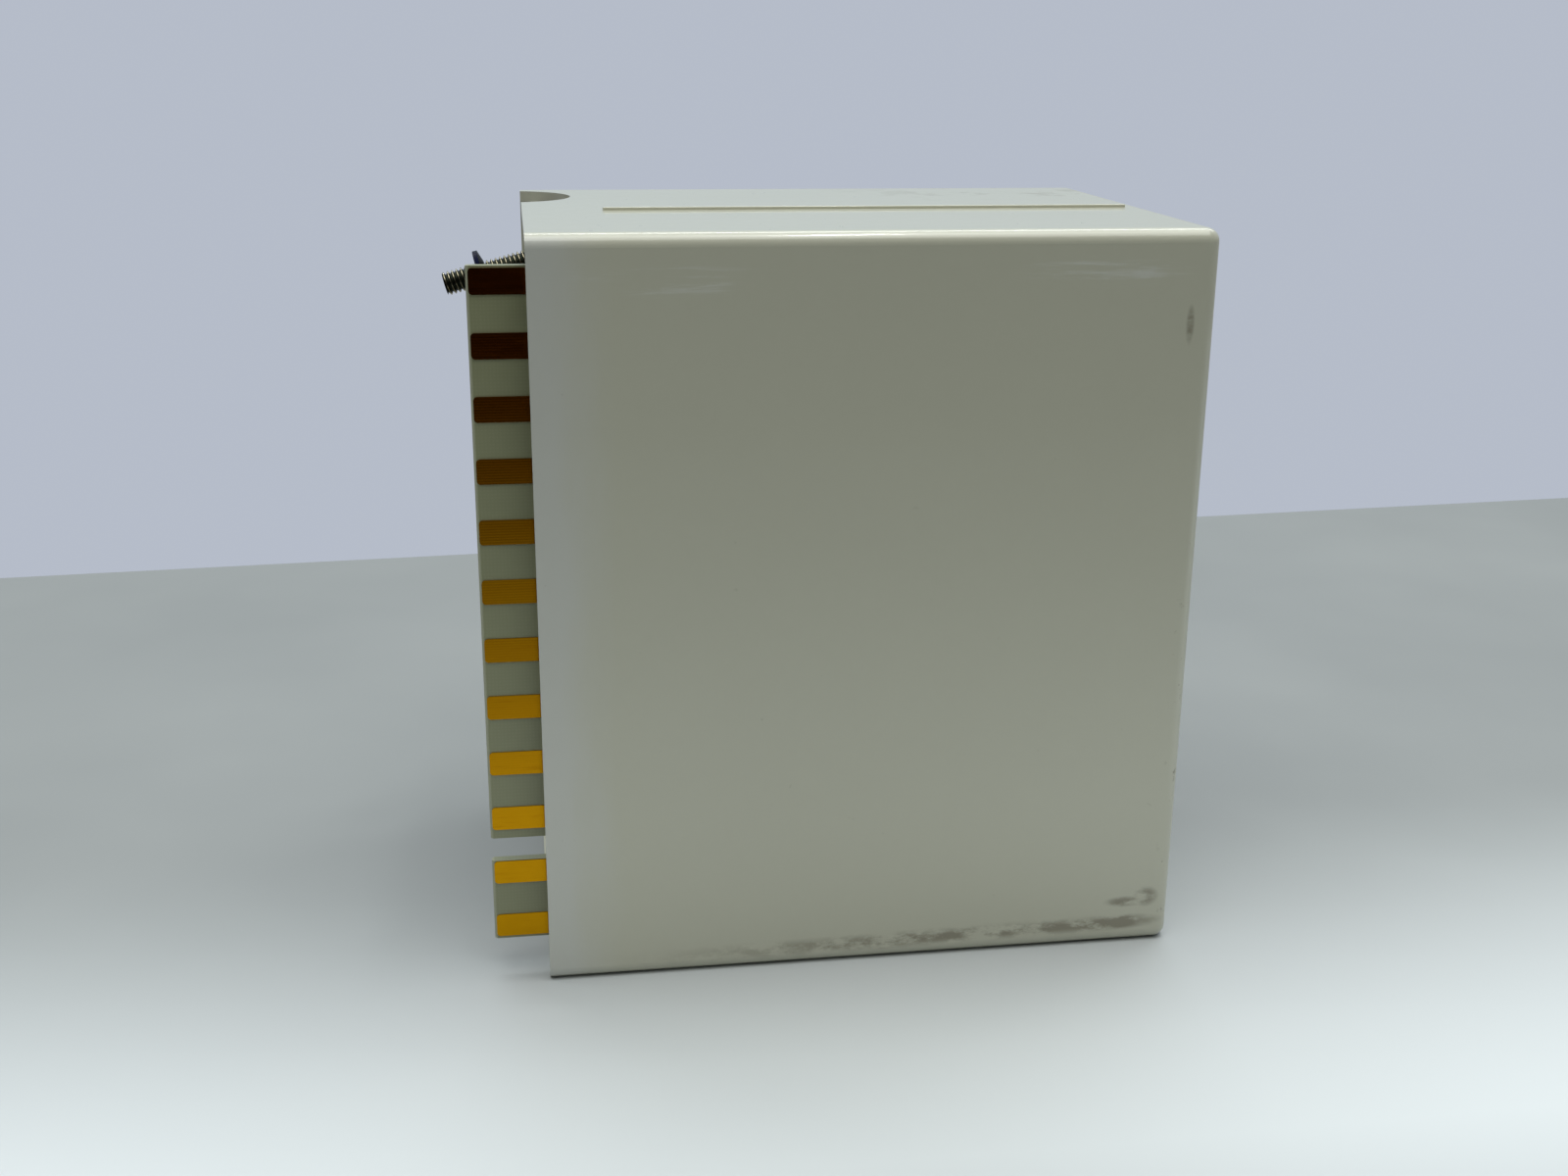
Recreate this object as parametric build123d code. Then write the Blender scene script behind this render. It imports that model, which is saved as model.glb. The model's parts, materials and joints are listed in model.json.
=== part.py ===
from build123d import *
from math import cos, radians, sin
import os

# A plug-in solid state relay. A moulded cover, open at the rear, slides over a folded
# chassis. A circuit board stands beside the cover's near side wall, and its rear edge
# sticks out as a 12-way edge connector. A captive jackscrew in the chassis's rear plate
# pulls the relay into its socket.
#
# Case coordinates, in millimetres: x runs from the cover's rear rim to its front face,
# y from its near side face to its far side face, z from its bottom face up.
# export() moves them to the part's own frame, whose origin is the bottom centre of the
# whole part's bounding box.

# Cover
CASE_LENGTH = 104.8
CASE_WIDTH = 75.8
CASE_HEIGHT = 120.0
WALL = 1.8
EDGE_RADIUS = 2.1
INNER_RADIUS = 0.8
RIB_START = 13.0
RIB_END = 101.0
RIB_Y = 35.3
RIB_WIDTH = 1.8
RIB_HEIGHT = 0.5
NOTCH_RADIUS = 11.1
NOTCH_X = -2.5

# Circuit board and its edge contacts
BOARD_Y = 5.4
BOARD_THICKNESS = 1.6
BOARD_FAR = BOARD_Y + BOARD_THICKNESS
BOARD_REACH = 8.7
BOARD_FRONT = 96.0
BOARD_BOTTOM = 5.5
BOARD_TOP = 114.95
BOARD_BEVEL = 0.4
CONTACT_COUNT = 12
CONTACT_PITCH = 9.525
CONTACT_TOP_Z = 112.66
CONTACT_WIDTH = 3.9
CONTACT_LENGTH = 13.5
CONTACT_THICKNESS = 0.15
CONTACT_INSET = 0.35
CONTACT_RADIUS = 0.6
KEY_AFTER_CONTACT = 10
KEY_OFFSET = 5.48
KEY_WIDTH = 4.0
KEY_DEPTH = 12.0

# Chassis
SHEET = 1.2
PLATE_X = 1.85
PLATE_FRONT = PLATE_X + SHEET
PLATE_NEAR = 8.4
FIT_GAP = 0.3
PANEL_Y = CASE_WIDTH - 5.5
PANEL_LENGTH = 93.0
PANEL_MARGIN = 6.0
TAB_LENGTH = 11.0
TAB_HEIGHT = 14.0
TAB_Z = (29.0, 79.0)
COVER_SCREW_X = 9.0
VENT_COUNT = 7
VENT_PITCH = 8.0
VENT_WIDTH = 2.6
VENT_HEIGHT = 44.0
VENT_FIRST_Y = 15.0

# Jackscrew, a number 8-32 screw three quarters of an inch long
JACK_Y = 60.4
JACK_Z = 109.25
JACK_X = PLATE_X + SHEET / 2
JACK_TILT = 15.0
JACK_RADIUS = 2.08
JACK_TIP_CHAMFER = 0.15
JACK_FREE_LENGTH = 5.0
JACK_GROOVE_WIDTH = 0.7
JACK_GROOVE_RADIUS = 1.85
JACK_LENGTH = 19.05
JACK_HEAD_RADIUS = 3.4
JACK_HEAD_HEIGHT = 3.0
JACK_HEAD_AT = 2.35
JACK_TIP_AT = JACK_HEAD_AT - JACK_LENGTH
JACK_HOLE_RADIUS = 2.45
WASHER_AT = 1.75
WASHER_THICKNESS = 0.5
WASHER_RADIUS = 4.0
WASHER_HOLE = 2.2
RETAINER_AT = -10.5
RETAINER_RADIUS = 4.15
RETAINER_HOLE = 2.14
RETAINER_RIM = 0.8
RETAINER_DISH = 0.6
RETAINER_DEPTH = 1.4
DRIVER_HOLE_RADIUS = 3.5

# Number 4-40 machine screws and the hexagonal standoffs that they hold
SCREW_RADIUS = 1.42
SCREW_HOLE = 1.6
TAPPED_HOLE = 1.46
PAN_RADIUS = 2.7
PAN_HEIGHT = 1.7
SCREW_DEPTH = 6.0
FLAT_HEAD_RADIUS = 2.75
FLAT_HEAD_HEIGHT = 1.4
STANDOFF_ACROSS_FLATS = 4.76
STANDOFF_PLACES = [(11.0, 11.5), (11.0, 98.5), (89.0, 11.5), (89.0, 107.0)]

# Front face
PLATE_LABEL_WIDTH = 44.0
PLATE_LABEL_HEIGHT = 58.0
PLATE_LABEL_THICKNESS = 0.5
PLATE_LABEL_Y = 40.0
PLATE_LABEL_Z = 52.0
LED_Y = BOARD_FAR + 3.5
LED_Z = 100.0
LED_RADIUS = 2.5
LED_PROUD = 1.0
TRIMMER_Y = BOARD_FAR + 2.6
TRIMMER_Z = 84.0
TRIMMER_FRONT = 99.5
TRIMMER_SIZE = 9.5
TRIMMER_SCREW_RADIUS = 1.1

# Heatsink and the three output triacs
SINK_X = 22.0
SINK_LENGTH = 66.0
SINK_Z = 66.0
SINK_BASE = 4.2
SINK_FIN_HEIGHT = 15.0
SINK_FIN_COUNT = 8
SINK_FIN = 1.5
SINK_Y = BOARD_FAR
SINK_STEP = (SINK_LENGTH - SINK_FIN) / (SINK_FIN_COUNT - 1)
SINK_DEPTH = 50.0
TRIAC_X = [SINK_X + SINK_FIN / 2 + gap * SINK_STEP for gap in (1.5, 3.5, 5.5)]
SINK_SCREW_X = [SINK_X + SINK_FIN / 2 + gap * SINK_STEP for gap in (0.5, 6.5)]
MICA = 0.15
TRIAC_TAB = 1.3
TRIAC_BODY = 4.45
TRIAC_BOTTOM_Y = 13.0
TRIAC_TAB_Y = 22.3
TRIAC_HOLE_Y = 25.5
TRIAC_TOP_Y = 28.8
LEAD_PITCH = 2.54

# The frame's origin, in case coordinates
TIP_RADIUS = JACK_RADIUS - JACK_TIP_CHAMFER
TIP_REACH = -(JACK_X + JACK_TIP_AT * cos(radians(JACK_TILT)) - TIP_RADIUS * sin(radians(JACK_TILT)))
ORIGIN_X = (CASE_LENGTH + LED_PROUD - TIP_REACH) / 2
ORIGIN_Y = CASE_WIDTH / 2


def block(x0, x1, y0, y1, z0, z1):
    """A box between two corners."""
    return Pos((x0 + x1) / 2, (y0 + y1) / 2, (z0 + z1) / 2) * Box(x1 - x0, y1 - y0, z1 - z0)


def rod(start, direction, radius, length):
    """A cylinder that starts at a point and runs along a row axis, X, Y or Z."""
    plane = Plane(origin=start, z_dir=direction)
    return plane * Cylinder(radius, length, align=(Align.CENTER, Align.CENTER, Align.MIN))


def hexagon(start, direction, across_flats, length):
    """A hexagonal bar that starts at a point."""
    plane = Plane(origin=start, z_dir=direction)
    profile = RegularPolygon(across_flats / 2, 6, major_radius=False)
    return extrude(plane * profile, length)


def group(solids):
    """Several separate solids as one node."""
    return Compound(list(solids))


def export(shape, name):
    """Writes one node's STEP file in the part's own frame."""
    export_step(Pos(-ORIGIN_X, -ORIGIN_Y, 0) * shape, f"parts/{name}.step")


def contact_z(number):
    """The height of an edge contact's middle, counted from 1 at the top."""
    return CONTACT_TOP_Z - (number - 1) * CONTACT_PITCH


# ---- Cover and what is on it

def cover():
    shell = block(0, CASE_LENGTH, 0, CASE_WIDTH, 0, CASE_HEIGHT)
    shell = fillet(shell.edges().filter_by_position(Axis.X, 1, CASE_LENGTH), EDGE_RADIUS)
    inside = block(-1, CASE_LENGTH - WALL, WALL, CASE_WIDTH - WALL, WALL, CASE_HEIGHT - WALL)
    inside = fillet(inside.edges().filter_by_position(Axis.X, 1, CASE_LENGTH), INNER_RADIUS)
    shell -= inside
    shell += guide_rib()
    shell -= rod((NOTCH_X, JACK_Y, CASE_HEIGHT - 2 * WALL), (0, 0, 1), NOTCH_RADIUS, 4 * WALL)
    front_inside = CASE_LENGTH - 2 * WALL
    for y, z, radius in (
        (JACK_Y, JACK_Z, DRIVER_HOLE_RADIUS),
        (LED_Y, LED_Z, LED_RADIUS + 0.1),
        (TRIMMER_Y, TRIMMER_Z, 2 * TRIMMER_SCREW_RADIUS),
    ):
        shell -= rod((front_inside, y, z), (1, 0, 0), radius, 3 * WALL)
    shell -= label_block(0.1, PLATE_LABEL_THICKNESS + 1)
    for z in TAB_Z:
        shell -= cover_screw(z, 0.08)
    for z in (30.0, 70.0):
        shell += board_guides(z)
    return shell


def guide_rib():
    """The raised rib along the middle of the cover's top."""
    rib = block(RIB_START, RIB_END, RIB_Y - RIB_WIDTH / 2, RIB_Y + RIB_WIDTH / 2,
                CASE_HEIGHT - WALL / 2, CASE_HEIGHT + RIB_HEIGHT)
    top_edges = rib.edges().filter_by_position(Axis.Z, CASE_HEIGHT + RIB_HEIGHT / 2, CASE_HEIGHT + 2)
    return fillet(top_edges, 0.2)


def board_guides(z):
    """Two fins inside the front wall, one each side of the board's front edge."""
    start = BOARD_FRONT - 3
    end = CASE_LENGTH - WALL / 2
    near = block(start, end, BOARD_Y - 1.4, BOARD_Y - 0.15, z - 6, z + 6)
    far = block(start, end, BOARD_FAR + 0.15, BOARD_FAR + 1.4, z - 6, z + 6)
    return near + far


def label_block(gap, thickness):
    """The nameplate's outline, or its recess when gap is above zero."""
    half_width = PLATE_LABEL_WIDTH / 2 + gap
    half_height = PLATE_LABEL_HEIGHT / 2 + gap
    start = CASE_LENGTH - PLATE_LABEL_THICKNESS
    plate = block(start, start + thickness, PLATE_LABEL_Y - half_width, PLATE_LABEL_Y + half_width,
                  PLATE_LABEL_Z - half_height, PLATE_LABEL_Z + half_height)
    return fillet(plate.edges().filter_by(Axis.X), 2 + gap)


def cover_screw(z, gap=0.0):
    """A flat-head screw in the far wall, or its countersunk hole when gap is above zero."""
    head = Plane(origin=(COVER_SCREW_X, CASE_WIDTH, z), z_dir=(0, -1, 0))
    cone = head * Cone(FLAT_HEAD_RADIUS + gap, SCREW_RADIUS + gap, FLAT_HEAD_HEIGHT,
                       align=(Align.CENTER, Align.CENTER, Align.MIN))
    shank = rod((COVER_SCREW_X, CASE_WIDTH, z), (0, -1, 0), SCREW_RADIUS + gap, SCREW_DEPTH - 1)
    screw = cone + shank
    if gap == 0:
        across = (COVER_SCREW_X - 3, COVER_SCREW_X + 3)
        screw -= block(*across, CASE_WIDTH - 0.6, CASE_WIDTH, z - 0.35, z + 0.35)
    return screw


def cover_nuts():
    """The clinch nuts on the chassis tabs that take the cover's screws."""
    tab_inner = CASE_WIDTH - WALL - 0.05 - SHEET
    nuts = []
    for z in TAB_Z:
        nut = rod((COVER_SCREW_X, tab_inner, z), (0, -1, 0), 2.8, 1.8)
        nuts.append(nut - rod((COVER_SCREW_X, tab_inner, z), (0, -1, 0), TAPPED_HOLE, 1.8))
    return group(nuts)


# ---- Chassis

def chassis():
    far_inside = CASE_WIDTH - WALL
    bottom = WALL + FIT_GAP
    top = CASE_HEIGHT - WALL - FIT_GAP
    rear = block(PLATE_X, PLATE_FRONT, PLATE_NEAR, far_inside - 0.05, bottom, top)
    rear = fillet(rear.edges().filter_by(Axis.X), 1.5)
    body = rear + block(PLATE_X, PLATE_FRONT + PANEL_LENGTH, PANEL_Y, PANEL_Y + SHEET,
                        PANEL_MARGIN, CASE_HEIGHT - PANEL_MARGIN)
    for z in TAB_Z:
        window = TAB_HEIGHT / 2 + 2
        body -= block(PLATE_FRONT, PLATE_FRONT + TAB_LENGTH + 2, PANEL_Y - 1, PANEL_Y + SHEET + 0.01,
                      z - window, z + window)
        tab = block(PLATE_X, PLATE_FRONT + TAB_LENGTH, far_inside - 0.05 - SHEET, far_inside - 0.05,
                    z - TAB_HEIGHT / 2, z + TAB_HEIGHT / 2)
        tab -= rod((COVER_SCREW_X, CASE_WIDTH, z), (0, -1, 0), SCREW_HOLE, 6)
        body += tab
    body -= rod((PLATE_X - 1, JACK_Y, JACK_Z), (1, 0, 0), JACK_HOLE_RADIUS, SHEET + 2)
    for index in range(VENT_COUNT):
        body -= vent(VENT_FIRST_Y + index * VENT_PITCH)
    for x, z in STANDOFF_PLACES:
        body -= rod((x, PANEL_Y - 1, z), (0, 1, 0), SCREW_HOLE, SHEET + 2)
    return body


def vent(y):
    """An upright slot with round ends through the rear plate."""
    half = VENT_WIDTH / 2
    middle = CASE_HEIGHT / 2
    low = middle - VENT_HEIGHT / 2 + half
    high = middle + VENT_HEIGHT / 2 - half
    slot = block(PLATE_X - 1, PLATE_FRONT + 1, y - half, y + half, low, high)
    for z in (low, high):
        slot += rod((PLATE_X - 1, y, z), (1, 0, 0), half, SHEET + 2)
    return slot


def standoffs():
    bars = []
    for x, z in STANDOFF_PLACES:
        bar = hexagon((x, BOARD_FAR, z), (0, 1, 0), STANDOFF_ACROSS_FLATS, PANEL_Y - BOARD_FAR)
        bar -= rod((x, BOARD_FAR, z), (0, 1, 0), TAPPED_HOLE, SCREW_DEPTH + 1)
        bar -= rod((x, PANEL_Y, z), (0, -1, 0), TAPPED_HOLE, SCREW_DEPTH + 1)
        bars.append(bar)
    return group(bars)


def pan_screw(face, inward, clamped):
    """A slotted pan-head screw. Its head sits on a face and its shank runs inward."""
    outward = tuple(-value for value in inward)
    head = rod(face, outward, PAN_RADIUS, PAN_HEIGHT)
    head = fillet(head.edges().group_by(Axis(face, outward))[-1], 0.7)
    slot_plane = Plane(origin=face, z_dir=outward)
    slot = slot_plane * Pos(0, 0, PAN_HEIGHT) * Box(2 * PAN_RADIUS + 1, 0.7, 1.6)
    return head + rod(face, inward, SCREW_RADIUS, clamped + SCREW_DEPTH) - slot


def board_screws():
    return group(pan_screw((x, BOARD_Y, z), (0, 1, 0), BOARD_THICKNESS) for x, z in STANDOFF_PLACES)


def chassis_screws():
    far = PANEL_Y + SHEET
    return group(pan_screw((x, far, z), (0, -1, 0), SHEET) for x, z in STANDOFF_PLACES)


# ---- Circuit board

def main_board():
    board = block(-BOARD_REACH, BOARD_FRONT, BOARD_Y, BOARD_FAR, BOARD_BOTTOM, BOARD_TOP)
    upright = board.edges().filter_by(Axis.Z)
    board = chamfer(upright.filter_by_position(Axis.X, -BOARD_REACH - 1, -BOARD_REACH + 1), BOARD_BEVEL)
    key_z = contact_z(KEY_AFTER_CONTACT) - KEY_OFFSET
    board -= block(-BOARD_REACH - 1, KEY_DEPTH - BOARD_REACH, BOARD_Y - 1, BOARD_FAR + 1,
                   key_z - KEY_WIDTH / 2, key_z + KEY_WIDTH / 2)
    for x, z in STANDOFF_PLACES:
        board -= rod((x, BOARD_Y - 1, z), (0, 1, 0), SCREW_HOLE, BOARD_THICKNESS + 2)
    for x in SINK_SCREW_X:
        board -= rod((x, BOARD_Y - 1, SINK_Z + SINK_BASE / 2), (0, 1, 0), SCREW_HOLE, BOARD_THICKNESS + 2)
    return board


def edge_contacts(low_y):
    """The gold-plated fingers on one side of the board."""
    start = CONTACT_INSET - BOARD_REACH
    fingers = []
    for number in range(1, CONTACT_COUNT + 1):
        z = contact_z(number)
        finger = block(start, start + CONTACT_LENGTH, low_y, low_y + CONTACT_THICKNESS,
                       z - CONTACT_WIDTH / 2, z + CONTACT_WIDTH / 2)
        rear_edges = finger.edges().filter_by(Axis.Y).filter_by_position(Axis.X, start - 1, start + 1)
        fingers.append(fillet(rear_edges, CONTACT_RADIUS))
    return group(fingers)


# ---- Jackscrew

def drooped(shape):
    """Turns a piece built along the screw's own axis to the angle at which the loose screw hangs."""
    return Pos(JACK_X, JACK_Y, JACK_Z) * Rot(0, -JACK_TILT, 0) * shape


def jackscrew():
    shank = rod((JACK_TIP_AT, 0, 0), (1, 0, 0), JACK_RADIUS, JACK_LENGTH)
    tip = shank.edges().filter_by_position(Axis.X, JACK_TIP_AT - 0.1, JACK_TIP_AT + 0.1)
    shank = chamfer(tip, JACK_TIP_CHAMFER)
    groove = (JACK_TIP_AT + JACK_FREE_LENGTH, 0, 0)
    shank -= rod(groove, (1, 0, 0), JACK_RADIUS + 1, JACK_GROOVE_WIDTH)
    shank += rod(groove, (1, 0, 0), JACK_GROOVE_RADIUS, JACK_GROOVE_WIDTH)
    head = rod((JACK_HEAD_AT, 0, 0), (1, 0, 0), JACK_HEAD_RADIUS, JACK_HEAD_HEIGHT)
    head = fillet(head.edges().group_by(Axis.X)[-1], 0.8)
    end = JACK_HEAD_AT + JACK_HEAD_HEIGHT
    return drooped(shank + head - block(end - 1.3, end + 1, -0.55, 0.55, -5, 5))


def jackscrew_washer():
    disc = rod((WASHER_AT, 0, 0), (1, 0, 0), WASHER_RADIUS, WASHER_THICKNESS)
    return drooped(disc - rod((WASHER_AT, 0, 0), (1, 0, 0), WASHER_HOLE, WASHER_THICKNESS))


def push_on_retainer():
    """The dished ring, pushed onto the thread, that keeps the screw in its hole."""
    hub = RETAINER_AT + RETAINER_DEPTH
    with BuildPart() as ring:
        with BuildSketch(Plane.XZ):
            with BuildLine():
                Polyline(
                    (RETAINER_AT, RETAINER_RADIUS),
                    (RETAINER_AT + RETAINER_RIM, RETAINER_RADIUS),
                    (hub, RETAINER_HOLE),
                    (RETAINER_AT + RETAINER_DISH, RETAINER_HOLE),
                    close=True,
                )
            make_face()
        revolve(axis=Axis.X)
    shape = ring.part
    for turn in (0, 60, 120):
        shape -= Rot(turn, 0, 0) * block(RETAINER_AT - 1, hub + 1, -0.25, 0.25, -3.1, 3.1)
    return drooped(shape)


# ---- Front face

def status_led():
    start = BOARD_FRONT - 0.5
    tip = CASE_LENGTH + LED_PROUD
    body = rod((start, LED_Y, LED_Z), (1, 0, 0), LED_RADIUS, tip - start)
    body = fillet(body.edges().group_by(Axis.X)[-1], LED_RADIUS - 0.1)
    return body + rod((start, LED_Y, LED_Z), (1, 0, 0), LED_RADIUS + 0.4, 1.0)


def led_holder():
    holder = block(BOARD_FRONT - 9, BOARD_FRONT - 0.5, BOARD_FAR, LED_Y + 3, LED_Z - 3, LED_Z + 3)
    return chamfer(holder.edges().filter_by(Axis.Z), 0.5)


def trimmer():
    half = TRIMMER_SIZE / 2
    body = block(TRIMMER_FRONT - TRIMMER_SIZE, TRIMMER_FRONT, BOARD_FAR, BOARD_FAR + 5,
                 TRIMMER_Z - half, TRIMMER_Z + half)
    return body - rod((TRIMMER_FRONT, TRIMMER_Y, TRIMMER_Z), (-1, 0, 0), TRIMMER_SCREW_RADIUS + 0.05, 3.05)


def trimmer_screw():
    screw = rod((TRIMMER_FRONT - 3, TRIMMER_Y, TRIMMER_Z), (1, 0, 0), TRIMMER_SCREW_RADIUS, 4.8)
    return screw - block(TRIMMER_FRONT + 1.2, TRIMMER_FRONT + 3, TRIMMER_Y - 2, TRIMMER_Y + 2,
                         TRIMMER_Z - 0.25, TRIMMER_Z + 0.25)


# ---- Heatsink and triacs

def heatsink():
    far = SINK_Y + SINK_DEPTH
    sink = block(SINK_X, SINK_X + SINK_LENGTH, SINK_Y, far, SINK_Z, SINK_Z + SINK_BASE)
    for index in range(SINK_FIN_COUNT):
        x = SINK_X + index * SINK_STEP
        sink += block(x, x + SINK_FIN, SINK_Y, far, SINK_Z + SINK_BASE, SINK_Z + SINK_BASE + SINK_FIN_HEIGHT)
    for x in TRIAC_X:
        sink -= rod((x, TRIAC_HOLE_Y, SINK_Z), (0, 0, 1), TAPPED_HOLE, SINK_BASE + 0.5)
    for x in SINK_SCREW_X:
        sink -= rod((x, SINK_Y, SINK_Z + SINK_BASE / 2), (0, 1, 0), TAPPED_HOLE, SCREW_DEPTH + 1)
    return sink


def heatsink_screws():
    z = SINK_Z + SINK_BASE / 2
    return group(pan_screw((x, BOARD_Y, z), (0, 1, 0), BOARD_THICKNESS) for x in SINK_SCREW_X)


def triac_bodies():
    back = SINK_Z - MICA
    return group(block(x - 5, x + 5, TRIAC_BOTTOM_Y, TRIAC_TAB_Y, back - TRIAC_BODY, back) for x in TRIAC_X)


def triac_tabs():
    back = SINK_Z - MICA
    tabs = []
    for x in TRIAC_X:
        tab = block(x - 5, x + 5, TRIAC_TAB_Y, TRIAC_TOP_Y, back - TRIAC_TAB, back)
        tabs.append(tab - rod((x, TRIAC_HOLE_Y, back), (0, 0, -1), SCREW_HOLE, TRIAC_TAB))
    return group(tabs)


def triac_leads():
    z = SINK_Z - MICA - 2.6
    leads = []
    for middle in TRIAC_X:
        for x in (middle - LEAD_PITCH, middle, middle + LEAD_PITCH):
            leads.append(block(x - 0.4, x + 0.4, BOARD_FAR, TRIAC_BOTTOM_Y, z - 0.25, z + 0.25))
    return group(leads)


def triac_insulators():
    sheets = []
    for x in TRIAC_X:
        sheet = block(x - 6.5, x + 6.5, TRIAC_BOTTOM_Y - 1, TRIAC_TOP_Y + 1.5, SINK_Z - MICA, SINK_Z)
        sheets.append(sheet - rod((x, TRIAC_HOLE_Y, SINK_Z), (0, 0, -1), SCREW_HOLE, MICA))
    return group(sheets)


def triac_screws():
    low = SINK_Z - MICA - TRIAC_TAB
    depth = MICA + TRIAC_TAB + SINK_BASE - SCREW_DEPTH
    return group(pan_screw((x, TRIAC_HOLE_Y, low), (0, 0, 1), depth) for x in TRIAC_X)


# ---- Transformer: laminated core, bobbin, coil and strap

CORE_X = (29.0, 61.0)
CORE_Z = (16.0, 54.4)
CORE_Y = (14.0, 34.0)
CORE_MIDDLE = sum(CORE_Z) / 2
LEG = 6.4
COIL_BUILD = 5.8


def leg_block(x0, x1, grow_y, grow_z):
    """The core's middle leg, grown in thickness and height."""
    half = LEG + grow_z
    return block(x0, x1, CORE_Y[0] - grow_y, CORE_Y[1] + grow_y, CORE_MIDDLE - half, CORE_MIDDLE + half)


def transformer_core():
    core = block(*CORE_X, *CORE_Y, *CORE_Z)
    for side in (-1, 1):
        inner = CORE_MIDDLE + side * LEG
        outer = CORE_MIDDLE + side * 2 * LEG
        core -= block(CORE_X[0] + LEG, CORE_X[1] - LEG, CORE_Y[0] - 1, CORE_Y[1] + 1,
                      min(inner, outer), max(inner, outer))
    return core


def transformer_coil():
    x0, x1 = CORE_X[0] + LEG + 1.4, CORE_X[1] - LEG - 1.4
    outer = leg_block(x0, x1, COIL_BUILD, COIL_BUILD)
    return fillet(outer.edges().filter_by(Axis.X), 3) - leg_block(x0 - 1, x1 + 1, 0.8, 0.8)


def transformer_bobbin():
    """A square tube round the core's middle leg, with a flange at each end."""
    x0, x1 = CORE_X[0] + LEG + 0.2, CORE_X[1] - LEG - 0.2
    tube = leg_block(x0, x1, 0.75, 0.75)
    half = LEG + COIL_BUILD + 0.3
    far = CORE_Y[1] + COIL_BUILD + 0.8
    for start, end in ((x0, x0 + 1.1), (x1 - 1.1, x1)):
        tube += block(start, end, BOARD_FAR, far, CORE_MIDDLE - half, CORE_MIDDLE + half)
    return tube - leg_block(x0 - 1, x1 + 1, 0.05, 0.05)


def transformer_strap():
    """The steel strap over the core's two outer legs, with feet on the board."""
    x0, x1 = CORE_X[0] - 1.0, CORE_X[0]
    top = CORE_Y[1]
    low, high = CORE_Z
    strap = block(x0, x1, BOARD_FAR, top, low + 2, high - 2)
    for z0, z1 in ((low - 6, low), (high, high + 6)):
        strap += block(x0, x1 + 12, BOARD_FAR, BOARD_FAR + 1, z0, z1)
        inner, outer = (z1 - 1, z1) if z0 < low else (z0, z0 + 1)
        strap += block(x0, x1 + 12, BOARD_FAR, CORE_Y[0] + 8, inner, outer)
    strap += block(x0, x1, BOARD_FAR, CORE_Y[0] + 8, low - 1, high + 1)
    return strap


# ---- Small components on the board's far side

def upright_can(x, z, radius, height):
    can = rod((x, BOARD_FAR, z), (0, 1, 0), radius, height)
    return fillet(can.edges().group_by(Axis.Y)[-1], 0.8)


def filter_capacitors():
    return group(upright_can(72, z, 6.5, 34) for z in (22, 40))


def bridge_rectifier():
    return upright_can(86, 52, 4.6, 6.0)


def flat_package(x, z, length):
    """A dual-in-line package's moulded body."""
    body = block(x - length / 2, x + length / 2, BOARD_FAR + 0.6, BOARD_FAR + 4.1, z - 3.2, z + 3.2)
    return body - rod((x - length / 2, BOARD_FAR + 3.4, z), (0, 1, 0), 0.9, 1)


def package_pins(x, z, per_side):
    pins = []
    for index in range(per_side):
        pin_x = x + (index - (per_side - 1) / 2) * LEAD_PITCH
        pin = block(pin_x - 0.3, pin_x + 0.3, BOARD_FAR, BOARD_FAR + 2.3, z - 0.35, z + 0.35)
        pins += [Pos(0, 0, side * 3.55) * pin for side in (-1, 1)]
    return pins


OPTOCOUPLER_PLACES = [(x, 56.0) for x in (66.0, 76.0)] + [(19.5, 93.0)]
LOGIC_PLACES = [(36.0, 92.0), (62.0, 92.0)]


def optocouplers():
    return group(flat_package(x, z, 8.6) for x, z in OPTOCOUPLER_PLACES)


def optocoupler_pins():
    return group(pin for x, z in OPTOCOUPLER_PLACES for pin in package_pins(x, z, 3))


def logic_chips():
    return group(flat_package(x, z, 19.2) for x, z in LOGIC_PLACES)


def logic_chip_pins():
    return group(pin for x, z in LOGIC_PLACES for pin in package_pins(x, z, 7))


SNUBBER_Z = (24.0, 44.0, 64.0)


def snubber_capacitors():
    boxes = []
    for z in SNUBBER_Z:
        box = block(7, 13, BOARD_FAR, BOARD_FAR + 12, z - 8, z + 8)
        boxes.append(fillet(box.edges().filter_by_position(Axis.Y, BOARD_FAR + 11, BOARD_FAR + 13), 0.6))
    return group(boxes)


def varistors():
    discs = []
    for z in SNUBBER_Z:
        disc = rod((16, BOARD_FAR + 8.5, z), (1, 0, 0), 7, 4.4)
        discs.append(fillet(disc.edges(), 1.2))
    return group(discs)


def varistor_leads():
    leads = []
    for z in SNUBBER_Z:
        for offset in (-3.5, 3.5):
            leads.append(rod((18.2, BOARD_FAR, z + offset), (0, 1, 0), 0.4, 2.2))
    return group(leads)


RESISTOR_X = [24 + 6 * index for index in range(9)]
RESISTOR_Z = 103.0
RESISTOR_Y = BOARD_FAR + 1.6


def resistors():
    bodies = []
    for x in RESISTOR_X:
        body = rod((x, RESISTOR_Y, RESISTOR_Z - 3.2), (0, 0, 1), 1.2, 6.4)
        bodies.append(fillet(body.edges(), 0.5))
    return group(bodies)


def resistor_leads():
    leads = []
    for x in RESISTOR_X:
        for side in (-1, 1):
            near = RESISTOR_Z + side * 3.2
            foot = RESISTOR_Z + side * 5.0
            wire = rod((x, RESISTOR_Y, near), (0, 0, side), 0.3, 2.1)
            leads.append(wire + rod((x, BOARD_FAR, foot), (0, 1, 0), 0.3, RESISTOR_Y - BOARD_FAR))
    return group(leads)


def dropping_resistor():
    body = block(81, 90, BOARD_FAR + 0.5, BOARD_FAR + 9.5, 18, 42)
    return fillet(body.edges().filter_by(Axis.Z), 0.8)


# ---- Fuse

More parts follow.
